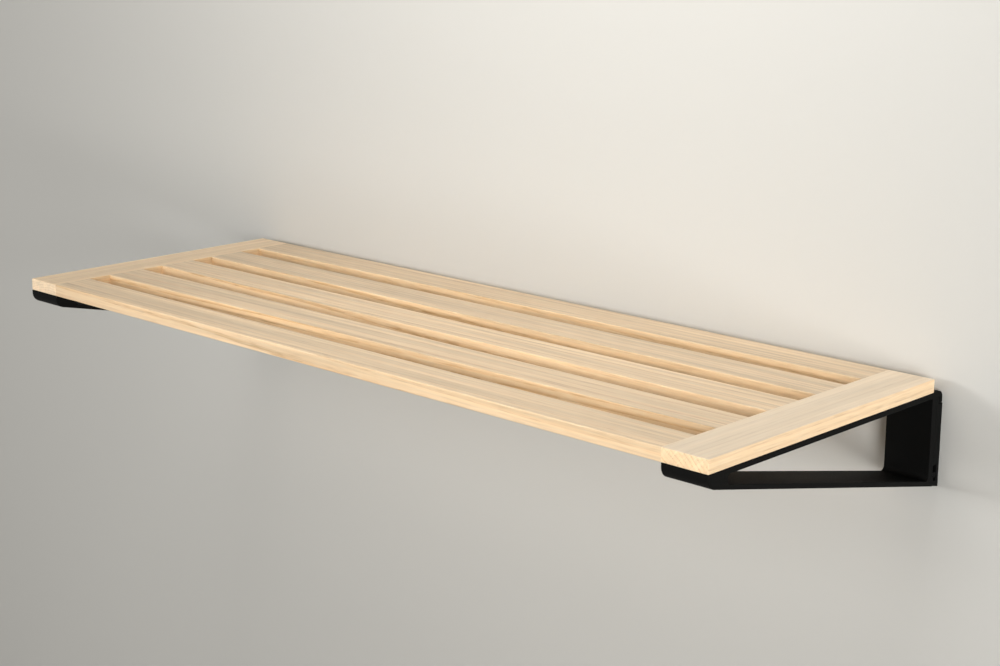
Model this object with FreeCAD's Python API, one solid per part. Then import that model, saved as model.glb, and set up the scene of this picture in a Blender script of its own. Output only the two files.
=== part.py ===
import FreeCAD, Part
import math
import os

# Wall-mounted slatted shoe shelf: an oak panel on two black brackets that hang on wall plates.
# Lengths are in millimetres. X runs along the wall, +Y points into the wall and +Z is up.
# The origin lies on the wall face, at the centre of the four wall-screw holes.

# Oak panel
SHELF_LENGTH = 800.0  # along the wall, over both end rails
SLAT_COUNT = 5
SLAT_WIDTH = 38.0
SLAT_GAP = 22.0
PANEL_THICKNESS = 11.0
RAIL_WIDTH = 40.0  # the brackets and the wall plates are as wide as the end rails
ARRIS_RADIUS = 1.0  # softened edges of the wood
WALL_GAP = 13.0  # wall face to the panel's back edge

# Dowels between the slats and the end rails
DOWEL_DIAMETER = 6.0
DOWEL_LENGTH = 30.0
DOWEL_INSET = 9.5  # dowel axis to the slat's long edge
DOWEL_CHAMFER = 0.6
DOWEL_END_ROOM = 1.0  # glue room past each end of a dowel
GLUE_CLEARANCE = 0.05  # radial, round a dowel

# Bracket: an extruded wedge, cut to the width of the end rail
BACK_HEIGHT = 77.5  # at the wall, from the top face down to the strut's underside
NOSE_HEIGHT = 10.0  # at the front, down to the corner before it is rounded
NOSE_RADIUS = 9.0
TOP_PLATE = 4.3
STRUT_THICKNESS = 3.8
BACK_FLANGE = 5.7
WINDOW_NOSE_RADIUS = 3.75
WINDOW_TOP_RADIUS = 2.0
WINDOW_BOTTOM_RADIUS = 4.0
BACK_EDGE_RADIUS = 4.5  # top edge of the bracket where it meets the wall
WALL_CLEARANCE = 0.8  # bracket's upper hook to the wall face
EDGE_BREAK = 0.3  # deburred edges of the cut ends

# Hooks of the bracket, and the wall plate that they hang on
PLATE_THICKNESS = 8.5
HOOK_LEG = 3.5  # thickness of the upper hook, which hangs down beside the wall
HOOK_DROP = 5.0  # how far the upper hook reaches down behind the wall plate's lip
HOOK_GAP = 0.8  # upper hook to lip
HOOK_END_ROOM = 0.8
WEB_THICKNESS = 3.5  # the wall plate behind its groove
LOWER_LIP = 1.5  # the wall plate in front of the groove's pocket
FINGER_RISE = 13.1  # strut's underside at the wall, up to the top of the lower finger
FINGER_NECK = 2.8
FINGER_DROP = 1.5  # how far the finger's tip turns down
FINGER_BACK_GAP = 0.8  # finger to web
FINGER_CLEARANCE = 0.3  # finger to the lower lip, so that the upper hook carries the load
FINGER_END_ROOM = 2.8
LIFT_ROOM = 5.5  # above the finger, for lifting the shelf off
PLATE_STEP = 0.3  # the wall plate's underside stands this far above the strut's line

# Wall screws
WALL_HOLE_DIAMETER = 5.0
WALL_HEAD_DIAMETER = 10.0
WALL_HOLE_SPACING = 30.0  # up the wall, centred between the hook and the groove

# Screws that hold the bracket to the end rail
SCREW_DIAMETER = 4.0
SCREW_HEAD_DIAMETER = 8.0
SCREW_LENGTH = 12.0
SCREW_POINT = 3.0
SCREW_CLEARANCE = 0.05
SOCKET_WIDTH = 2.5  # across the flats of the hexagon in a screw's head
SOCKET_DEPTH = 1.5
SOCKET_SIDES = 6

TOUCH = 1e-4  # two places nearer than this are the same place

# Sizes that follow from those above
HALF_LENGTH = SHELF_LENGTH / 2
SLAT_PITCH = SLAT_WIDTH + SLAT_GAP
PANEL_DEPTH = SLAT_COUNT * SLAT_PITCH - SLAT_GAP
FRONT = WALL_GAP + PANEL_DEPTH
SHOULDER_DEPTH = TOP_PLATE + HOOK_DROP + HOOK_END_ROOM  # bracket's top face to the plate under the hook
GROOVE_DEPTH = BACK_HEIGHT - FINGER_RISE - LIFT_ROOM  # bracket's top face to the groove's roof
BRACKET_TOP = (SHOULDER_DEPTH + GROOVE_DEPTH) / 2
PANEL_TOP = BRACKET_TOP + PANEL_THICKNESS
PLATE_UNDERSIDE = BRACKET_TOP - TOP_PLATE
FLANGE_FRONT = PLATE_THICKNESS + BACK_FLANGE
STRUT_SLOPE = (BACK_HEIGHT - NOSE_HEIGHT) / FRONT
STRUT_RISE = STRUT_THICKNESS * math.hypot(1, STRUT_SLOPE)  # the strut's thickness, measured upright
HOOK_FRONT = WALL_CLEARANCE + HOOK_LEG
HOOK_END = PLATE_UNDERSIDE - HOOK_DROP
FINGER_BACK = WEB_THICKNESS + FINGER_BACK_GAP
POCKET_FRONT = PLATE_THICKNESS - LOWER_LIP
FINGER_FRONT = POCKET_FRONT - FINGER_CLEARANCE
FINGER_TOP = BRACKET_TOP - BACK_HEIGHT + FINGER_RISE
FINGER_UNDERSIDE = FINGER_TOP - FINGER_NECK
FINGER_TIP = FINGER_UNDERSIDE - FINGER_DROP
SCREW_RADIUS = SCREW_DIAMETER / 2
SCREW_HEAD_RADIUS = SCREW_HEAD_DIAMETER / 2
SCREW_GAPS = (1, SLAT_COUNT - 2)  # the screws stand level with the middle of these gaps, clear of dowels
SCREW_ROWS = [WALL_GAP + gap * SLAT_PITCH - SLAT_GAP / 2 for gap in SCREW_GAPS]

ALONG = FreeCAD.Vector(1, 0, 0)
INTO_WALL = FreeCAD.Vector(0, 1, 0)
UP = FreeCAD.Vector(0, 0, 1)


def place(x, out, up):
    """A point: along the wall, out from the wall face, and up from the wall screws' middle."""
    return FreeCAD.Vector(x, -out, up)


def block(x_range, out_range, up_range):
    """A box that fills three ranges."""
    size = [high - low for low, high in (x_range, out_range, up_range)]
    return Part.makeBox(*size, place(x_range[0], out_range[1], up_range[0]))


def prism(outline, x_start):
    """An outline of (out, up) points, carried along the wall for the width of an end rail."""
    corners = [place(x_start, out, up) for out, up in outline]
    face = Part.Face(Part.makePolygon(corners + corners[:1]))
    return face.extrude(ALONG * RAIL_WIDTH)


def round_corner(solid, corner, radius):
    """Rounds the edge along the wall that passes through one corner of a prism's outline."""
    spot = place(0, *corner)
    edges = [
        edge
        for edge in solid.Edges
        if edge.BoundBox.XLength > TOUCH
        and math.hypot(edge.CenterOfMass.y - spot.y, edge.CenterOfMass.z - spot.z) < TOUCH
    ]
    return solid.makeFillet(radius, edges)


def strut_line(out):
    """Height of the strut's underside at a distance out from the wall."""
    return BRACKET_TOP - BACK_HEIGHT + STRUT_SLOPE * out


def slat_start(number):
    """Distance from the wall to the back edge of a slat. Slat 1 is nearest the wall."""
    return WALL_GAP + (number - 1) * SLAT_PITCH


def countersunk(mouth, direction, head_radius, shank_radius, length):
    """A 90 degree cone at the mouth of a plain cylinder: a countersunk hole, or a screw's head and shank."""
    cone = Part.makeCone(head_radius, shank_radius, head_radius - shank_radius, mouth, direction)
    return cone.fuse(Part.makeCylinder(shank_radius, length, mouth, direction))


def dowel_spots(side, numbers):
    """Middle of each dowel between the given slats and the end rail on one side (-1 left, 1 right)."""
    x = side * (HALF_LENGTH - RAIL_WIDTH)
    up = PANEL_TOP - PANEL_THICKNESS / 2
    insets = (DOWEL_INSET, SLAT_WIDTH - DOWEL_INSET)
    return [place(x, slat_start(number) + inset, up) for number in numbers for inset in insets]


def dowel_holes(side, numbers):
    """Blind holes for those dowels, with glue room, running across the joint."""
    length = DOWEL_LENGTH + 2 * DOWEL_END_ROOM
    radius = DOWEL_DIAMETER / 2 + GLUE_CLEARANCE
    starts = [spot - ALONG * (length / 2) for spot in dowel_spots(side, numbers)]
    return [Part.makeCylinder(radius, length, start, ALONG) for start in starts]


def dowels(side):
    """Beech dowels with chamfered ends, two in each slat end."""
    pins = []
    for spot in dowel_spots(side, range(1, SLAT_COUNT + 1)):
        pin = Part.makeCylinder(DOWEL_DIAMETER / 2, DOWEL_LENGTH, spot - ALONG * (DOWEL_LENGTH / 2), ALONG)
        rims = [edge for edge in pin.Edges if edge.BoundBox.XLength < TOUCH]
        pins.append(pin.makeChamfer(DOWEL_CHAMFER, rims))
    return Part.makeCompound(pins)


def slat(number):
    """An oak slat with softened long edges, drilled for its dowels at both ends."""
    reach = HALF_LENGTH - RAIL_WIDTH
    start = slat_start(number)
    bar = block((-reach, reach), (start, start + SLAT_WIDTH), (BRACKET_TOP, PANEL_TOP))
    long_edges = [edge for edge in bar.Edges if edge.BoundBox.XLength > TOUCH]
    bar = bar.makeFillet(ARRIS_RADIUS, long_edges)
    return bar.cut(dowel_holes(-1, [number]) + dowel_holes(1, [number]))


def end_rail(side):
    """An oak end rail: softened where it is bare, square on the side that takes the slats."""
    inner, outer = side * (HALF_LENGTH - RAIL_WIDTH), side * HALF_LENGTH
    bar = block(sorted((inner, outer)), (WALL_GAP, FRONT), (BRACKET_TOP, PANEL_TOP))
    bare_edges = [edge for edge in bar.Edges if abs(edge.CenterOfMass.x - inner) > TOUCH]
    bar = bar.makeFillet(ARRIS_RADIUS, bare_edges)
    pilots = [
        Part.makeCylinder(SCREW_RADIUS + SCREW_CLEARANCE, SCREW_LENGTH - TOP_PLATE + SCREW_CLEARANCE,
                          place(rail_middle(side), out, BRACKET_TOP), UP)
        for out in SCREW_ROWS
    ]
    return bar.cut(dowel_holes(side, range(1, SLAT_COUNT + 1)) + pilots)


def rail_middle(side):
    """Where the middle of an end rail lies along the wall."""
    return side * (HALF_LENGTH - RAIL_WIDTH / 2)


def bracket(side):
    """A wedge bracket: top plate, upper hook, back flange with a finger, strut and rounded nose."""
    x_start = rail_middle(side) - RAIL_WIDTH / 2
    nose = (FRONT, BRACKET_TOP - NOSE_HEIGHT)
    back_edge = (WALL_CLEARANCE, BRACKET_TOP)
    outline = [
        (FRONT, BRACKET_TOP),
        nose,
        (PLATE_THICKNESS, strut_line(PLATE_THICKNESS)),
        (PLATE_THICKNESS, FINGER_UNDERSIDE),
        (FINGER_FRONT, FINGER_UNDERSIDE),
        (FINGER_FRONT, FINGER_TIP),
        (FINGER_BACK, FINGER_TIP),
        (FINGER_BACK, FINGER_TOP),
        (PLATE_THICKNESS, FINGER_TOP),
        (PLATE_THICKNESS, PLATE_UNDERSIDE),
        (HOOK_FRONT, PLATE_UNDERSIDE),
        (HOOK_FRONT, HOOK_END),
        (WALL_CLEARANCE, HOOK_END),
        back_edge,
    ]
    body = prism(outline, x_start)
    body = round_corner(body, nose, NOSE_RADIUS)
    body = round_corner(body, back_edge, BACK_EDGE_RADIUS)
    body = body.cut(bracket_window(x_start))
    cut_ends = [edge for edge in body.Edges if edge.BoundBox.XLength < TOUCH]
    body = body.makeChamfer(EDGE_BREAK, cut_ends)
    mouths = [place(rail_middle(side), out, PLATE_UNDERSIDE) for out in SCREW_ROWS]
    hole_radius = SCREW_RADIUS + SCREW_CLEARANCE
    return body.cut([countersunk(mouth, UP, SCREW_HEAD_RADIUS, hole_radius, TOP_PLATE) for mouth in mouths])


def bracket_window(x_start):
    """The open triangle of a bracket, between its top plate, back flange and strut."""
    top_back = (FLANGE_FRONT, PLATE_UNDERSIDE)
    bottom_back = (FLANGE_FRONT, strut_line(FLANGE_FRONT) + STRUT_RISE)
    point = (FLANGE_FRONT + (top_back[1] - bottom_back[1]) / STRUT_SLOPE, PLATE_UNDERSIDE)
    window = prism([top_back, bottom_back, point], x_start)
    window = round_corner(window, point, WINDOW_NOSE_RADIUS)
    window = round_corner(window, top_back, WINDOW_TOP_RADIUS)
    return round_corner(window, bottom_back, WINDOW_BOTTOM_RADIUS)


def wall_plate(side):
    """A plate screwed to the wall: a lip for the bracket's hook and a groove for its finger."""
    x_start = rail_middle(side) - RAIL_WIDTH / 2
    lip_back = HOOK_FRONT + HOOK_GAP
    shoulder = BRACKET_TOP - SHOULDER_DEPTH
    groove_roof = BRACKET_TOP - GROOVE_DEPTH
    lower_lip = FINGER_UNDERSIDE - FINGER_CLEARANCE
    pocket_floor = FINGER_TIP - FINGER_END_ROOM
    outline = [
        (0, shoulder),
        (lip_back, shoulder),
        (lip_back, PLATE_UNDERSIDE),
        (PLATE_THICKNESS, PLATE_UNDERSIDE),
        (PLATE_THICKNESS, groove_roof),
        (WEB_THICKNESS, groove_roof),
        (WEB_THICKNESS, pocket_floor),
        (POCKET_FRONT, pocket_floor),
        (POCKET_FRONT, lower_lip),
        (PLATE_THICKNESS, lower_lip),
        (PLATE_THICKNESS, strut_line(PLATE_THICKNESS) + PLATE_STEP),
        (0, strut_line(0) + PLATE_STEP),
    ]
    plate = prism(outline, x_start)
    cut_ends = [edge for edge in plate.Edges if edge.BoundBox.XLength < TOUCH]
    plate = plate.makeChamfer(EDGE_BREAK, cut_ends)
    mouths = [place(rail_middle(side), PLATE_THICKNESS, half * WALL_HOLE_SPACING / 2) for half in (-1, 1)]
    holes = [
        countersunk(mouth, INTO_WALL, WALL_HEAD_DIAMETER / 2, WALL_HOLE_DIAMETER / 2, PLATE_THICKNESS)
        for mouth in mouths
    ]
    return plate.cut(holes)


def bracket_screws(side):
    """Countersunk wood screws with a hexagon socket, up through the top plate into the end rail."""
    screws = []
    for out in SCREW_ROWS:
        base = place(rail_middle(side), out, PLATE_UNDERSIDE)
        head_radius = SCREW_HEAD_RADIUS - SCREW_CLEARANCE
        shank_length = SCREW_LENGTH - SCREW_POINT
        screw = countersunk(base, UP, head_radius, SCREW_RADIUS, shank_length)
        screw = screw.fuse(Part.makeCone(SCREW_RADIUS, 0, SCREW_POINT, base + UP * shank_length, UP))
        screws.append(screw.cut(hexagon_socket(base)).removeSplitter())
    return Part.makeCompound(screws)


def hexagon_socket(middle):
    """A six-sided hole that goes up into a screw's head."""
    corner_radius = SOCKET_WIDTH / 2 / math.cos(math.pi / SOCKET_SIDES)
    angles = [2 * math.pi * step / SOCKET_SIDES for step in range(SOCKET_SIDES)]
    corners = [middle + FreeCAD.Vector(math.cos(a), math.sin(a), 0) * corner_radius for a in angles]
    return Part.Face(Part.makePolygon(corners + corners[:1])).extrude(UP * SOCKET_DEPTH)


def build():
    """Every piece of the shelf by name."""
    pieces = {f"slat_{number}": slat(number) for number in range(1, SLAT_COUNT + 1)}
    for name, side in (("left", -1), ("right", 1)):
        pieces[f"{name}_end_rail"] = end_rail(side)
        pieces[f"{name}_dowels"] = dowels(side)
        pieces[f"{name}_bracket"] = bracket(side)
        pieces[f"{name}_bracket_screws"] = bracket_screws(side)
        pieces[f"{name}_wall_plate"] = wall_plate(side)
    return pieces


os.makedirs("parts", exist_ok=True)
for node, shape in build().items():
    shape.exportStep(f"parts/{node}.step")
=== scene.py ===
import math

import bpy
import numpy as np
from mathutils import Euler, Matrix, Vector


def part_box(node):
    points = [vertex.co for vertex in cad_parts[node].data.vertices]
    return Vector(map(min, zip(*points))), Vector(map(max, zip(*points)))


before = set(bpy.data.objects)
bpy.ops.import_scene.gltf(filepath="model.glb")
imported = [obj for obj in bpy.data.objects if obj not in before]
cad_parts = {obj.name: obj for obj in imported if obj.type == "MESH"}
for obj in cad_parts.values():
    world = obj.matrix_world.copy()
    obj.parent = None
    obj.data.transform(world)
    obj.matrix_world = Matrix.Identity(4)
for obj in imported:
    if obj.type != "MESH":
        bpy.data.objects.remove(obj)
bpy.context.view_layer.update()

# A wall shelf for shoes: oak slats between two end rails, on black brackets that hang on wall plates.
# The CAD pieces are shown as they are. This script adds their finishes, a wall, a floor, lamps and a camera.
# Lengths are in metres. X runs along the wall, +Y points into the wall and +Z is up.
MM = 0.001

# Camera, at the photograph's place and angle
CAMERA_SPOT = Vector((1.1100, -1.2258, 0.4184))
CAMERA_HEADING = math.radians(43.887)  # turned left from looking straight at the wall
CAMERA_DIP = math.radians(13.879)
CAMERA_ROLL = math.radians(0.097)
LENS = 67.42
SENSOR_WIDTH = 36.0

# Oak: sizes of its grain, each along the trunk first and then across it
SWAY = 2.6 * MM  # how far the growth rings wander along the trunk
SWAY_SIZE = Vector((320.0, 45.0, 45.0)) * MM
WANDER = 0.5 * MM  # small unevenness of each ring
WANDER_SIZE = Vector((70.0, 5.0, 5.0)) * MM
# Real pores are a quarter of a millimetre wide. These are drawn wider, so that they show from a step away.
PORE_SIZE = Vector((20.0, 1.2, 1.2)) * MM
BLOTCH_SIZE = Vector((260.0, 16.0, 16.0)) * MM
STREAK_SIZE = Vector((240.0, 4.2, 4.2)) * MM
RAY_REACH = 85.0 * MM  # distance from the trunk's middle at which a ray has its true width
RAY_SIZE = Vector((22.0, 1.1, 14.0)) * MM  # along the trunk, round it, and outwards

# Oak: shares from 0 to 1
EARLY_PART = 0.55  # part of a year's growth in which the early wood fades out
WEAKEST_YEAR = 0.2  # early wood of the weakest year, where the strongest has 1
LATE_PORES = 0.2  # pores in the late wood, where the early wood has 1
PORE_NOISE = (0.52, 0.66)  # noise at the rim and in the middle of a pore
RAY_NOISE = (0.55, 0.75)  # the same for a ray
EARLY_TINT, PORE_TINT, RAY_TINT = 0.85, 0.7, 0.3  # how far each colours the wood
SQUARE_ON = (0.6, 0.95)  # how squarely a face looks along an axis, from not at all to fully
BLOTCH_TONE = 0.06  # how far blotches depart from the board's tone
RING_RELIEF = 0.35  # depth of the early wood, where a pore has 1

# Grain of the other finishes
PEEL_SIZE = Vector((0.9, 0.9, 0.9)) * MM
CLOUD_SIZE = Vector((18.0, 18.0, 18.0)) * MM
ZINC_SIZE = Vector((1.5, 1.5, 1.5)) * MM
FLECK_SIZE = Vector((4.0, 0.6, 0.6)) * MM
MOST_NOISE = (0.3, 0.7)  # the range in which most noise lies


def linear(code):
    """Linear red, green, blue and alpha of an sRGB hex colour."""
    parts = [int(code[start:start + 2], 16) / 255 for start in (1, 3, 5)]
    return (*[v / 12.92 if v <= 0.04045 else ((v + 0.055) / 1.055) ** 2.4 for v in parts], 1.0)


def add(tree, kind, inputs=(), out=0, **settings):
    """Adds a node and gives back one of its outputs, or the node itself if it has none.

    Settings are its properties. Inputs are values or links, in order, or by socket name or number.
    """
    made = tree.nodes.new(f"ShaderNode{kind}")
    for key, value in settings.items():
        setattr(made, key, value)
    for key, value in (inputs if isinstance(inputs, dict) else dict(enumerate(inputs))).items():
        if isinstance(value, bpy.types.NodeSocket):
            tree.links.new(value, made.inputs[key])
        else:
            made.inputs[key].default_value = value
    return made.outputs[out] if made.outputs else made


def new_material(name):
    """An empty material and its node tree."""
    made = bpy.data.materials.new(name)
    made.use_nodes = True
    made.node_tree.nodes.clear()
    return made, made.node_tree


def unevenness(tree, place, size, detail):
    """A smooth, uneven pattern from 0 to 1, with features of a given size along each axis."""
    scaled = add(tree, "VectorMath", (place, [1 / length for length in size]), operation="MULTIPLY")
    return add(tree, "TexNoise", {"Vector": scaled, "Scale": 1.0, "Detail": detail})


def finish(tree, inputs):
    """The surface of a material, from its shader's inputs."""
    add(tree, "OutputMaterial", {"Surface": add(tree, "BsdfPrincipled", inputs)})


def growth_rings(tree, trunk, ring):
    """Distance from the trunk's middle, a little uneven, and the share of early wood there.

    The distance is counted in years, each as wide as ring. A year starts with early wood, which fades out,
    and some years have more of it than others.
    """
    across = add(tree, "VectorMath", (trunk, (0, 1, 1)), operation="MULTIPLY")
    distance = add(tree, "VectorMath", (across,), out="Value", operation="LENGTH")
    for size, reach, detail in ((SWAY_SIZE, SWAY, 2.0), (WANDER_SIZE, WANDER, 1.0)):
        pattern = unevenness(tree, trunk, size, detail)
        shift = add(tree, "Math", (pattern, 2 * reach, -reach), operation="MULTIPLY_ADD")
        distance = add(tree, "Math", (distance, shift), operation="ADD")
    years = add(tree, "Math", (distance, ring), operation="DIVIDE")
    season = add(tree, "Math", (years,), operation="FRACT")
    early = add(tree, "MapRange", (season, 0.0, EARLY_PART, 1.0, 0.0), interpolation_type="SMOOTHSTEP")
    year = add(tree, "Math", (years,), operation="FLOOR")
    chance = add(tree, "TexWhiteNoise", {"W": year}, noise_dimensions="1D")
    strength = add(tree, "Math", (chance, 1 - WEAKEST_YEAR, WEAKEST_YEAR), operation="MULTIPLY_ADD")
    return distance, add(tree, "Math", (early, strength), operation="MULTIPLY")


def oak(board, pith, turn, along, ring, tone, streaks, oil_and_painted_sheen):
    """White-oiled oak, sawn from a trunk whose middle runs through pith, turned from +X by turn.

    Each year's growth starts with a dark band of open pores and fades into paler late wood. Fine pale
    rays run from the trunk's middle outwards. A pale grey, partly white oil and partly painted sheen, makes
    the long edges, the wide faces and the ends paler and greyer by amounts given for each board, so that
    faces turned one way are painted paler. The eye sees pale straight grain on the faces, rings on the ends
    and a soft sheen at a low angle.
    """
    material, tree = new_material(f"white_oiled_oak_{board}")
    texture = add(tree, "TexCoord").node.outputs
    trunk = add(tree, "Mapping", {"Vector": texture["Object"], "Location": pith, "Rotation": turn},
                vector_type="TEXTURE")
    distance, early = growth_rings(tree, trunk, ring)

    pores = add(tree, "MapRange", (unevenness(tree, trunk, PORE_SIZE, 1.0), *PORE_NOISE, 0.0, 1.0))
    open_pores = add(tree, "Math", (early, 1 - LATE_PORES, LATE_PORES), operation="MULTIPLY_ADD")
    pores = add(tree, "Math", (pores, open_pores), operation="MULTIPLY")

    parts = add(tree, "SeparateXYZ", (trunk,)).node.outputs
    angle = add(tree, "Math", (parts["Z"], parts["Y"]), operation="ARCTAN2")
    girth = add(tree, "Math", (angle, RAY_REACH), operation="MULTIPLY")
    ray_place = add(tree, "CombineXYZ", (parts["X"], girth, distance))
    rays = add(tree, "MapRange", (unevenness(tree, ray_place, RAY_SIZE, 0.0), *RAY_NOISE, 0.0, 1.0))

    colour = linear("#EFCDA0")  # late wood
    for pattern, tint, code in ((early, EARLY_TINT, "#D6A970"), (pores, PORE_TINT, "#B48754"),
                                (rays, RAY_TINT, "#F6E0BC")):
        amount = add(tree, "Math", (pattern, tint), operation="MULTIPLY")
        colour = add(tree, "Mix", {0: amount, 6: colour, 7: linear(code)}, out=2, data_type="RGBA")
    # Painted sheen: a pale grey mixed in by which way a face turns, partly white oil and partly painted sheen
    oil_and_sheen_share = oil_and_painted_sheen["edges"]
    for axis, amount in (((0, 0, 1), oil_and_painted_sheen["faces"]), (along, oil_and_painted_sheen["ends"])):
        facing = add(tree, "VectorMath", (texture["Normal"], axis), out="Value", operation="DOT_PRODUCT")
        facing = add(tree, "Math", (facing,), operation="ABSOLUTE")
        share = add(tree, "MapRange", (facing, *SQUARE_ON, 0.0, 1.0))
        oil_and_sheen_share = add(tree, "Math", (share, amount - oil_and_painted_sheen["edges"], oil_and_sheen_share), operation="MULTIPLY_ADD")
    colour = add(tree, "Mix", {0: oil_and_sheen_share, 6: colour, 7: linear("#DCD2C2")}, out=2, data_type="RGBA")

    blotch = add(tree, "MapRange", (unevenness(tree, trunk, BLOTCH_SIZE, 2.0), *MOST_NOISE,
                                    tone - BLOTCH_TONE, tone + BLOTCH_TONE))
    streak = add(tree, "MapRange", (unevenness(tree, trunk, STREAK_SIZE, 3.0), *MOST_NOISE,
                                    1 - streaks, 1 + streaks))
    value = add(tree, "Math", (blotch, streak), operation="MULTIPLY")
    colour = add(tree, "HueSaturation", {"Color": colour, "Value": value})

    roughness = add(tree, "MapRange", (pores, 0.0, 1.0, 0.52, 0.68))
    depth = add(tree, "Math", (early, RING_RELIEF, pores), operation="MULTIPLY_ADD")
    bump = add(tree, "Bump", {"Height": depth, "Strength": 0.35, "Distance": 0.08 * MM}, invert=True)
    finish(tree, {"Base Color": colour, "Roughness": roughness, "Normal": bump, "IOR": 1.5})
    return material


def powder_coat():
    """Matt black powder coat, baked onto extruded aluminium.

    The cured powder leaves a fine orange peel, so the black is deep and its sheen is broad and faint.
    """
    material, tree = new_material("matt_black_powder_coat")
    place = add(tree, "TexCoord", out="Object")
    cloud = unevenness(tree, place, CLOUD_SIZE, 3.0)
    peel = unevenness(tree, place, PEEL_SIZE, 2.0)
    colour = add(tree, "Mix", {0: cloud, 6: linear("#0A0A09"), 7: linear("#0D0D0C")}, out=2, data_type="RGBA")
    roughness = add(tree, "MapRange", (peel, *MOST_NOISE, 0.58, 0.68))
    bump = add(tree, "Bump", {"Height": peel, "Strength": 0.25, "Distance": 0.05 * MM})
    finish(tree, {"Base Color": colour, "Roughness": roughness, "Normal": bump, "Specular IOR Level": 0.06})
    return material


def zinc_plate():
    """Bright zinc on a cold-headed steel screw: a pale metal with faint cloudy patches."""
    material, tree = new_material("zinc_plated_steel")
    cloud = unevenness(tree, add(tree, "TexCoord", out="Object"), ZINC_SIZE, 3.0)
    colour = add(tree, "Mix", {0: cloud, 6: linear("#B9BABC"), 7: linear("#D2D2CF")}, out=2, data_type="RGBA")
    roughness = add(tree, "MapRange", (cloud, *MOST_NOISE, 0.22, 0.38))
    finish(tree, {"Base Color": colour, "Roughness": roughness, "Metallic": 1.0})
    return material


def beech():
    """Turned beech: pale pinkish brown with short dark flecks along the dowel."""
    material, tree = new_material("turned_beech")
    fleck = unevenness(tree, add(tree, "TexCoord", out="Object"), FLECK_SIZE, 2.0)
    fleck = add(tree, "MapRange", (fleck, 0.5, 0.7, 0.0, 1.0))
    colour = add(tree, "Mix", {0: fleck, 6: linear("#D9B48C"), 7: linear("#B98E66")}, out=2, data_type="RGBA")
    finish(tree, {"Base Color": colour, "Roughness": 0.6})
    return material


def seen(tree, dim, bright):
    """A strength that is bright to the eye, in mirrors and through glass, and dim as light on the shelf."""
    path = add(tree, "LightPath").node.outputs
    shown = add(tree, "Math", (path["Is Camera Ray"], path["Is Glossy Ray"]), operation="MAXIMUM")
    shown = add(tree, "Math", (shown, path["Is Transmission Ray"]), operation="MAXIMUM")
    return add(tree, "MapRange", (shown, 0.0, 1.0, dim, bright))


def stage_paint(name, code, glow):
    """Matt paint that is seen from its front only, so that the stage never hides the shelf.

    It looks paler than the lamps make it by glow, and still shows shadows.
    """
    material, tree = new_material(name)
    paint = add(tree, "BsdfDiffuse", {"Color": linear(code)})
    pale = add(tree, "Emission", {"Color": linear(code), "Strength": seen(tree, 0.0, glow)})
    front = add(tree, "AddShader", (paint, pale))
    behind = add(tree, "NewGeometry", out="Backfacing")
    both = add(tree, "MixShader", (behind, front, add(tree, "BsdfTransparent")))
    add(tree, "OutputMaterial", {"Surface": both})
    return material


def dress(node, material):
    """Gives a node's object one material on all its faces."""
    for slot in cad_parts[node].material_slots:
        slot.material = material


def stage_sheet(name, corner, side, rise, material):
    """A flat sheet of the stage: corner + s * side + t * rise, for s and t from 0 to 1."""
    s, t = np.array([[0, 1, 1, 0], [0, 0, 1, 1]])[..., None]
    points = np.array(corner) + s * np.array(side) + t * np.array(rise)
    mesh = bpy.data.meshes.new(name)
    mesh.from_pydata(points.tolist(), [], [(0, 1, 2, 3)])
    mesh.materials.append(material)
    sheet = bpy.data.objects.new(name, mesh)
    sheet.visible_shadow = False  # the rear lamp shines through the wall
    bpy.context.scene.collection.objects.link(sheet)


# Boards of the panel: where the middle of the trunk lies from the board's middle, across and up, in
# millimetres, how far the board leans from the trunk's middle, in degrees, the width of one year's growth
# in millimetres, the board's tone and how far its streaks depart from it, and the pale grey on its long
# edges, wide faces and ends, partly white oil and partly painted sheen
BOARDS = {
    "slat_1": ((70, -62), (0.5, 0.4), 4.6, 0.96, 0.15, (0.0, 0.34, 0.0)),
    "slat_2": ((-88, -40), (0.4, -0.5), 4.2, 0.95, 0.15, (0.0, 0.36, 0.0)),
    "slat_3": ((58, -52), (0.5, 0.6), 5.4, 1.06, 0.15, (0.05, 0.33, 0.0)),
    "slat_4": ((-40, -64), (-0.5, 0.6), 4.8, 1.03, 0.15, (0.0, 0.34, 0.0)),
    "slat_5": ((80, -52), (0.3, 0.5), 4.4, 1.03, 0.15, (0.14, 0.34, 0.0)),
    "left_end_rail": ((10, -74), (0.3, 0.4), 2.4, 1.13, 0.09, (0.05, 0.34, 0.38)),
    "right_end_rail": ((-56, -58), (0.5, -0.4), 3.5, 1.14, 0.055, (0.17, 0.62, 0.1)),
}


def dress_boards():
    """Oak for each board. Slats lie along X, and end rails lie along Y."""
    for board, (offset, lean, ring, tone, streaks, oil_and_painted_sheen) in BOARDS.items():
        low, high = (Vector(corner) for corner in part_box(board))
        middle = (low + high) / 2
        lean = [math.radians(angle) for angle in lean]
        if board.startswith("slat"):
            pith = middle + Vector((0, offset[0], offset[1])) * MM
            turn = (0, lean[0], lean[1])
            along = (1, 0, 0)
        else:
            pith = middle + Vector((offset[0], 0, offset[1])) * MM
            turn = (lean[0], 0, math.pi / 2 + lean[1])
            along = (0, 1, 0)
        oil_and_painted_sheen = dict(zip(("edges", "faces", "ends"), oil_and_painted_sheen))
        dress(board, oak(board, pith, turn, along, ring * MM, tone, streaks, oil_and_painted_sheen))


def dress_hardware():
    """Finishes of the brackets, wall plates, screws and dowels."""
    coat, zinc, dowel = powder_coat(), zinc_plate(), beech()
    for side in ("left", "right"):
        dress(f"{side}_bracket", coat)
        dress(f"{side}_wall_plate", coat)
        dress(f"{side}_bracket_screws", zinc)
        dress(f"{side}_dowels", dowel)


# Stage: a wall just behind the wall plates and a floor below
WALL_SPOT = 0.2 * MM
STAGE_HALF = 4.0
FLOOR_SPOT = -1.8
WALL_TOP = 3.0
FLOOR_GLOW = 0.6


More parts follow.
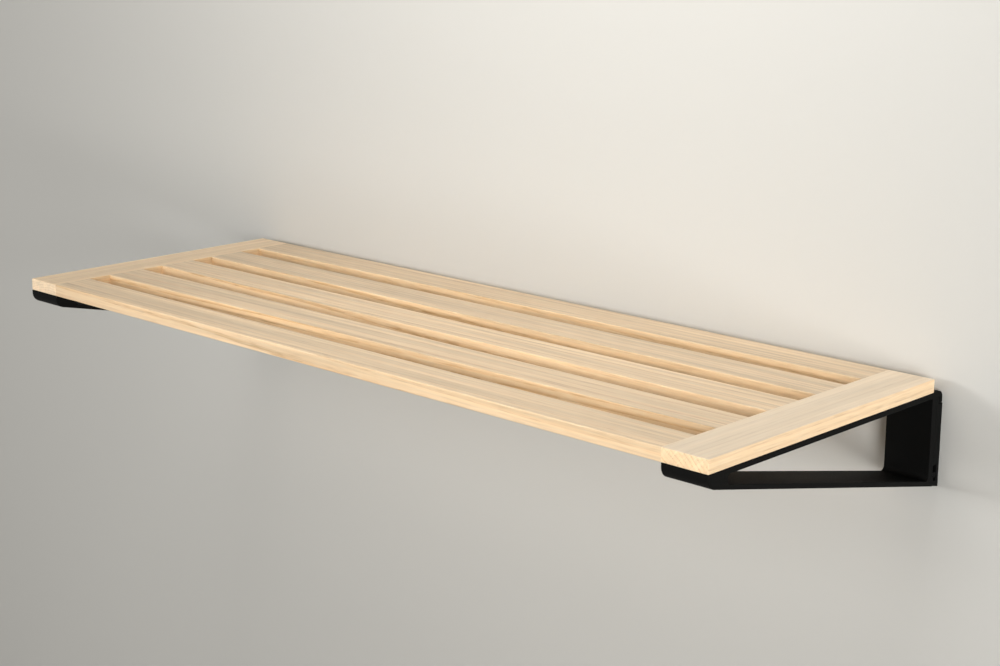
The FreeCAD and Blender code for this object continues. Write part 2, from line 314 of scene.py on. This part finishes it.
def set_stage():
    """A pale wall and a pale floor, each seen from the room's side."""
    stage_sheet("wall", (-STAGE_HALF, WALL_SPOT, FLOOR_SPOT), (2 * STAGE_HALF, 0, 0),
                (0, 0, WALL_TOP - FLOOR_SPOT), stage_paint("matt_wall_paint", "#CAC8C2", 0.0))
    stage_sheet("floor", (-STAGE_HALF, -2 * STAGE_HALF, FLOOR_SPOT), (2 * STAGE_HALF, 0, 0),
                (0, 2 * STAGE_HALF + WALL_SPOT, 0), stage_paint("pale_floor", "#DEDBD5", FLOOR_GLOW))


# Lamps: where each stands, what it looks at, its width and height, its power in watts, and its spread in
# degrees. The rear one lights the back of the wall plates, which is seen through the wall from behind.
LAMPS = {
    "right": ((2.8, -1.95, 0.06), (0.1, -0.1, 0.1), (1.15, 1.15), 32.5, 120),
    "front": ((-0.9, -2.2, 0.49), (0.1, -0.1, 0.1), (1.2, 0.3), 19.0, 180),
    "top": ((0.3, -0.8, 1.8), (0.1, -0.1, 0.1), (1.0, 1.0), 3.2, 180),
    "wall_wash": ((0.0, -1.6, 0.9), (0.06, 0.0, 0.7), (0.6, 0.6), 2.3, 60),
    "wall_top": ((0.23, -0.6, 1.5), (0.18, -0.05, 0.2), (0.8, 0.8), 0.95, 60),
    "rear": ((0.2, 2.0, -0.3), (0.0, -0.1, 0.0), (1.2, 1.2), 5.0, 80),
}
WORLD_LIGHT = 0.15  # even light from all round, as it falls on the shelf
WORLD_LOOK = 0.62  # the same, as the eye sees it behind the shelf


def set_light():
    """Soft lamps and an even light from all round."""
    for name, (spot, target, size, power, spread) in LAMPS.items():
        lamp = bpy.data.lights.new(name, "AREA")
        lamp.shape = "RECTANGLE"
        lamp.size, lamp.size_y = size
        lamp.energy = power
        lamp.spread = math.radians(spread)
        holder = bpy.data.objects.new(name, lamp)
        holder.location = spot
        holder.rotation_euler = (Vector(target) - Vector(spot)).to_track_quat("-Z", "Y").to_euler()
        bpy.context.scene.collection.objects.link(holder)
    world = bpy.data.worlds.new("studio")
    world.use_nodes = True
    tree = world.node_tree
    tree.nodes.clear()
    sky = {"Color": linear("#FFFFFF"), "Strength": seen(tree, WORLD_LIGHT, WORLD_LOOK)}
    add(tree, "OutputWorld", {"Surface": add(tree, "Background", sky)})
    bpy.context.scene.world = world


def set_camera():
    """The camera at the photograph's place and angle."""
    lens = bpy.data.cameras.new("camera")
    lens.lens = LENS
    lens.sensor_width = SENSOR_WIDTH
    lens.sensor_fit = "HORIZONTAL"
    camera = bpy.data.objects.new("camera", lens)
    level = Euler((math.pi / 2 - CAMERA_DIP, 0, CAMERA_HEADING)).to_matrix()
    turned = level @ Matrix.Rotation(CAMERA_ROLL, 3, "Z")
    camera.matrix_world = Matrix.Translation(CAMERA_SPOT) @ turned.to_4x4()
    bpy.context.scene.collection.objects.link(camera)
    bpy.context.scene.camera = camera


dress_boards()
dress_hardware()
set_stage()
set_light()
set_camera()
bpy.context.scene.view_settings.view_transform = "Standard"
